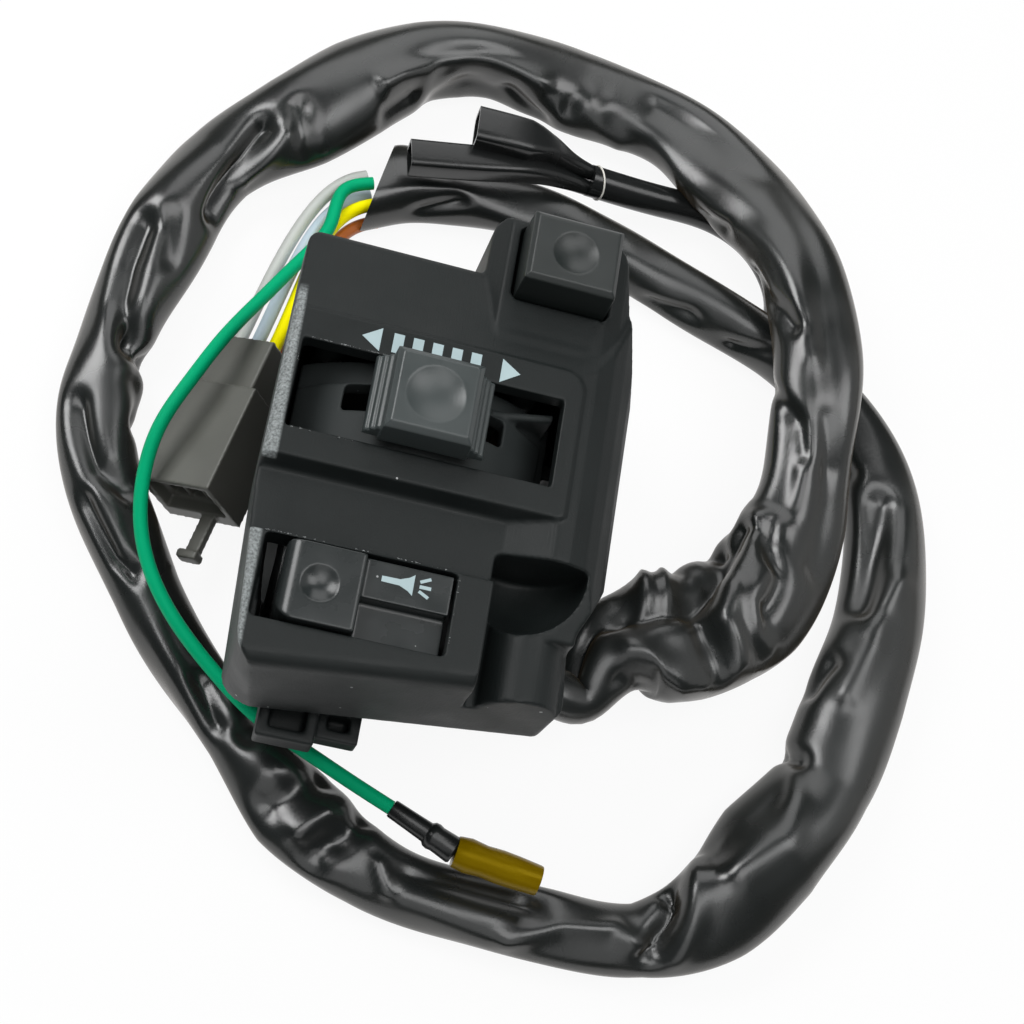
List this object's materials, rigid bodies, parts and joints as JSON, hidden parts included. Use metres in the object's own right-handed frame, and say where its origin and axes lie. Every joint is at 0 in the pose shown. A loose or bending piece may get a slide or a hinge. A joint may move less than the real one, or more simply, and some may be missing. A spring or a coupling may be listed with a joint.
{
  "type": "handlebar switch cluster",
  "caption": "Left handlebar switch cluster: turn lever, horn button and dip button in a split case that clamps round the bar, with sheathed harness, block connector and terminals.",
  "frame": {"origin": "on the handlebar's axis, below the middle of the turn knob", "axes": "+X along the bar towards the cable outlet, +Y towards the dip button, +Z out of the face that the buttons stand on"},
  "size_m": [0.1468, 0.1612, 0.0561],
  "materials": {
    "case_plastic": "fine matte grain",
    "button_plastic": "satin",
    "steel": "plated",
    "brass": "plain",
    "base_board": "pressed board",
    "white_nylon": "satin",
    "black_vinyl": "glossy soft vinyl",
    "green_vinyl": "glossy",
    "grey_vinyl": "glossy",
    "blue_vinyl": "glossy",
    "yellow_vinyl": "glossy",
    "orange_vinyl": "glossy",
    "amber_vinyl": "translucent, glossy",
    "connector_nylon": "satin"
  },
  "bodies": {
    "case": {"front_case": "case_plastic", "rear_case": "case_plastic", "case_screws": "steel", "base_screws": "steel", "cable_grommet": "black_vinyl", "turn_frame": "case_plastic", "turn_pivot_pin": "steel", "turn_base": "base_board", "turn_contacts": "brass", "detent_leaf": "steel", "horn_pivot_pin": "steel", "horn_spring": "steel", "horn_base": "base_board", "horn_leaf": "brass", "dip_spring": "steel", "dip_base": "base_board", "dip_contacts": "brass", "harness_sheath": "black_vinyl", "green_wire": "green_vinyl", "grey_wire": "grey_vinyl", "blue_wire": "blue_vinyl", "yellow_wire": "yellow_vinyl", "orange_wire": "orange_vinyl", "wire_connector": "connector_nylon", "connector_terminals": "brass", "bullet_terminal": "brass", "bullet_sleeve_black": "black_vinyl", "bullet_sleeve_amber": "amber_vinyl", "branch_lead": "black_vinyl", "branch_sleeve_upper": "black_vinyl", "branch_sleeve_lower": "black_vinyl", "branch_terminals": "brass"},
    "turn_lever": {"turn_knob": "button_plastic", "turn_lever": "button_plastic", "turn_bridge": "brass"},
    "horn_button": {"horn_button": "button_plastic", "horn_stud": "brass"},
    "dip_button": {"dip_button": "button_plastic", "dip_plunger": "white_nylon", "dip_bridge": "brass"}
  },
  "joints": [
    {"name": "turn_swing", "type": "hinge", "parent": "case", "child": "turn_lever", "pos_m": [0, 0.0096, 0.021], "axis": [0, 1, 0], "range_deg": [-20, 20]},
    {"name": "horn_press", "type": "hinge", "parent": "case", "child": "horn_button", "pos_m": [0.0056, -0.0184, 0.0282], "axis": [0, -1, 0], "range_deg": [0, 7], "stiffness_Nm_per_rad": 0.5, "springref_deg": -3.44, "deforming": ["horn_spring"]},
    {"name": "dip_press", "type": "slide", "parent": "case", "child": "dip_button", "axis": [0, 0, -1], "range_m": [0, 0.003], "stiffness_N_per_m": 1200, "springref_m": -0.002, "deforming": ["dip_spring"]}
  ]
}
